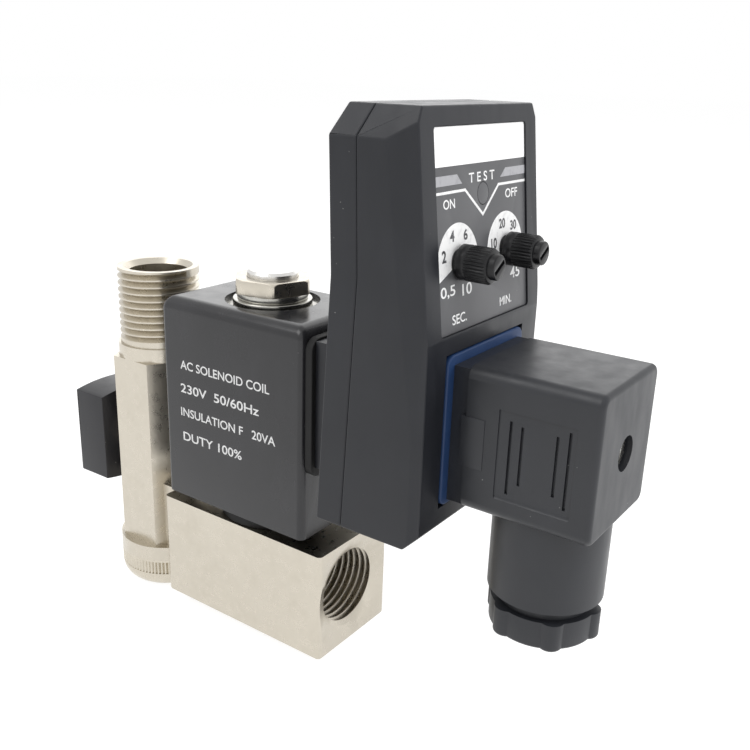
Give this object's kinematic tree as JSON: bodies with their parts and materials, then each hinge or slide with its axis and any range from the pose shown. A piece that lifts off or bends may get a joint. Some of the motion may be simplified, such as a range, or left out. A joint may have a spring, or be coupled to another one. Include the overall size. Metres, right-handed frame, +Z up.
{
  "type": "automatic drain valve",
  "caption": "Timer-controlled solenoid drain valve: brass body with ball valve and strainer, upright coil, timer with two dials and a right-angle cable plug.",
  "frame": {"origin": "centre of the G 1/2 outlet port on the outlet face of the body block", "axes": "+X out of the outlet port, +Z up out of the inlet pipe, +Y completes a right-handed frame"},
  "size_m": [0.1534, 0.048, 0.1333],
  "materials": {
    "nickel_brass": "nickel plated forged brass, satin",
    "black_plastic": "moulded glass-filled polyamide, fine matt grain",
    "coil_plastic": "encapsulated coil moulding, slight sheen",
    "knob_plastic": "dense black plastic",
    "label_print": "printed film",
    "blue_rubber": "silicone gasket",
    "black_rubber": "nitrile rubber",
    "ptfe": "sintered PTFE",
    "steel": "zinc or nickel plated steel",
    "stainless": "stainless steel",
    "chromed_brass": "chrome plated",
    "copper": "enamelled copper",
    "bobbin_plastic": "natural polyamide",
    "contact_metal": "tinned brass",
    "board": "glass epoxy laminate",
    "clear_lens": "moulded lamp"
  },
  "bodies": {
    "valve": {"valve_body": "nickel_brass", "strainer_cap": "nickel_brass", "seat_retainer": "nickel_brass", "upper_ball_seat": "ptfe", "lower_ball_seat": "ptfe", "stem_packing": "ptfe", "strainer_screen": "stainless", "cap_o_ring": "black_rubber", "armature_tube": "stainless", "base_seal": "black_rubber", "tube_o_ring": "black_rubber", "fixed_core": "stainless", "shading_ring": "copper", "plunger_spring": "stainless", "coil_yoke": "steel", "coil_bobbin": "bobbin_plastic", "coil_winding": "copper", "coil_housing": "coil_plastic", "coil_blades": "contact_metal", "flat_washer": "steel", "lock_washer": "steel", "coil_nut": "steel", "timer_rear_shell": "black_plastic", "timer_front_shell": "black_plastic", "shell_screws": "steel", "rear_gasket": "black_rubber", "rear_contacts": "contact_metal", "timer_blades": "contact_metal", "dial_label": "label_print", "circuit_board": "board", "potentiometers": "bobbin_plastic", "test_switch": "knob_plastic", "indicator_leds": "clear_lens", "timer_relay": "knob_plastic", "timer_capacitor": "blue_rubber", "plug_gasket": "blue_rubber", "plug_housing": "black_plastic", "plug_insert": "bobbin_plastic", "plug_contacts": "contact_metal", "long_screw": "steel", "gland_grommet": "black_rubber", "gland_washer": "black_plastic", "gland_nut": "black_plastic"},
    "ball_valve": {"ball": "chromed_brass", "ball_stem": "nickel_brass", "shutoff_handle": "black_plastic", "handle_screw": "steel"},
    "plunger_set": {"plunger": "stainless", "plunger_seal": "black_rubber"},
    "on_time_dial": {"on_time_knob": "knob_plastic", "on_time_shaft": "bobbin_plastic"},
    "off_time_dial": {"off_time_knob": "knob_plastic", "off_time_shaft": "bobbin_plastic"},
    "test_button": {"test_key": "label_print"}
  },
  "joints": [
    {"name": "handle_turn", "type": "hinge", "parent": "valve", "child": "ball_valve", "pos_m": [-0.0658, 0, 0.0215], "axis": [1, 0, 0], "range_deg": [0, 90]},
    {"name": "plunger_lift", "type": "slide", "parent": "valve", "child": "plunger_set", "axis": [0, 0, 1], "range_m": [0, 0.0025], "stiffness_N_per_m": 250, "springref_m": -0.004, "deforming": ["plunger_spring"]},
    {"name": "on_time_turn", "type": "hinge", "parent": "valve", "child": "on_time_dial", "pos_m": [0.02973, -0.0094, 0.08696], "axis": [1, 0, 0], "range_deg": [-150, 150]},
    {"name": "off_time_turn", "type": "hinge", "parent": "valve", "child": "off_time_dial", "pos_m": [0.02973, 0.0094, 0.08696], "axis": [1, 0, 0], "range_deg": [-150, 150]},
    {"name": "test_press", "type": "slide", "parent": "valve", "child": "test_button", "axis": [0.9942, 0, 0.1072], "range_m": [-0.0004, 0], "stiffness_N_per_m": 800}
  ]
}
